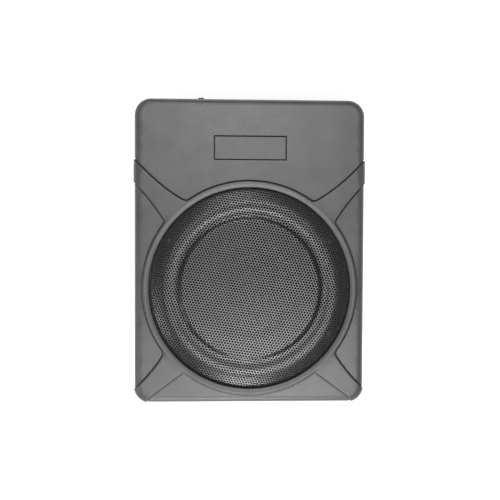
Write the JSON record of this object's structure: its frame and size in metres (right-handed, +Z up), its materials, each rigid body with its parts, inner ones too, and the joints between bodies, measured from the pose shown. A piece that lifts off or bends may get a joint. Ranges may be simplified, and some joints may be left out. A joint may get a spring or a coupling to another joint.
{
  "type": "powered car subwoofer",
  "caption": "Slim powered subwoofer for under a car seat: cast housing with raised bands, round perforated grille, built-in amplifier and an end panel with controls.",
  "frame": {"origin": "centre of the footprint, on the plane that the rubber feet stand on", "axes": "+Z up, out through the grille; +Y towards the end panel with the controls; +X to the right with the end panel at the top"},
  "size_m": [0.2522, 0.3354, 0.075],
  "materials": {
    "coated_aluminium": "cast aluminium under a fine-textured, satin dark grey powder coat",
    "badge_plastic": "satin dark grey plate, blank",
    "coated_steel": "smooth satin black paint on sheet steel",
    "grille_steel": "satin dark grey paint on perforated sheet steel",
    "foam": "matt black closed-cell foam",
    "rubber": "matt black rubber",
    "paper_cone": "matt black pressed pulp",
    "coil_wire": "enamelled copper wire",
    "spider_cloth": "resin-dipped woven cloth",
    "zinc_steel": "zinc-plated steel",
    "ferrite": "dark grey ferrite",
    "black_plastic": "matt black moulded plastic",
    "terminal_plastic": "smooth black moulded plastic",
    "socket_plastic": "off-white nylon",
    "jack_metal": "nickel-plated brass",
    "circuit_board": "green solder mask on fibreglass board",
    "bare_aluminium": "plain extruded aluminium",
    "capacitor_sleeve": "dark shrink sleeve",
    "fuse_plastic": "amber translucent plastic",
    "led_lens": "red tinted lens"
  },
  "bodies": {
    "enclosure": {"housing": "coated_aluminium", "badge_plate": "badge_plastic", "base_plate": "coated_steel", "grille": "grille_steel", "grille_foam_ring": "foam", "basket": "coated_steel", "driver_gasket": "foam", "surround": "rubber", "spider": "spider_cloth", "top_plate": "zinc_steel", "magnet": "ferrite", "pole_yoke": "zinc_steel", "driver_terminal": "black_plastic", "amp_board": "circuit_board", "control_board": "circuit_board", "heat_sink_bar": "bare_aluminium", "transistor_left": "black_plastic", "transistor_right": "black_plastic", "transformer": "coil_wire", "output_inductor": "coil_wire", "capacitor_1": "capacitor_sleeve", "capacitor_2": "capacitor_sleeve", "capacitor_3": "capacitor_sleeve", "end_panel": "black_plastic", "power_terminal": "terminal_plastic", "fuse_holder": "black_plastic", "speaker_input_socket": "socket_plastic", "remote_socket": "socket_plastic", "rca_jack_left": "jack_metal", "rca_jack_right": "jack_metal", "level_potentiometer": "zinc_steel", "crossover_potentiometer": "zinc_steel", "bass_potentiometer": "zinc_steel", "phase_switch": "zinc_steel", "power_led": "led_lens", "foot_1": "rubber", "foot_2": "rubber", "foot_3": "rubber", "foot_4": "rubber", "base_screw_1": "coated_steel", "driver_screw_1": "coated_steel", "base_screw_2": "coated_steel", "driver_screw_2": "coated_steel", "base_screw_3": "coated_steel", "driver_screw_3": "coated_steel", "base_screw_4": "coated_steel", "driver_screw_4": "coated_steel", "base_screw_5": "coated_steel", "driver_screw_5": "coated_steel", "base_screw_6": "coated_steel", "driver_screw_6": "coated_steel"},
    "cone_assembly": {"cone": "paper_cone", "dust_cap": "paper_cone", "voice_coil": "coil_wire"},
    "level_knob": {"level_knob": "black_plastic"},
    "crossover_knob": {"crossover_knob": "black_plastic"},
    "bass_knob": {"bass_knob": "black_plastic"},
    "phase_slider": {"phase_slider": "black_plastic"},
    "fuse": {"fuse": "fuse_plastic"}
  },
  "joints": [
    {"name": "cone_travel", "type": "slide", "parent": "enclosure", "child": "cone_assembly", "axis": [0, 0, 1], "range_m": [-0.005, 0.005], "stiffness_N_per_m": 2500, "deforming": ["surround", "spider"]},
    {"name": "level_knob_turn", "type": "hinge", "parent": "enclosure", "child": "level_knob", "pos_m": [-0.054, 0.15505, 0.044], "axis": [0, 1, 0], "range_deg": [-140, 140]},
    {"name": "crossover_knob_turn", "type": "hinge", "parent": "enclosure", "child": "crossover_knob", "pos_m": [-0.034, 0.15505, 0.044], "axis": [0, 1, 0], "range_deg": [-140, 140]},
    {"name": "bass_knob_turn", "type": "hinge", "parent": "enclosure", "child": "bass_knob", "pos_m": [-0.014, 0.15505, 0.044], "axis": [0, 1, 0], "range_deg": [-140, 140]},
    {"name": "phase_slide", "type": "slide", "parent": "enclosure", "child": "phase_slider", "axis": [1, 0, 0], "range_m": [0, 0.004]},
    {"name": "fuse_pull", "type": "slide", "parent": "enclosure", "child": "fuse", "axis": [0, 1, 0], "range_m": [0, 0.012]}
  ]
}
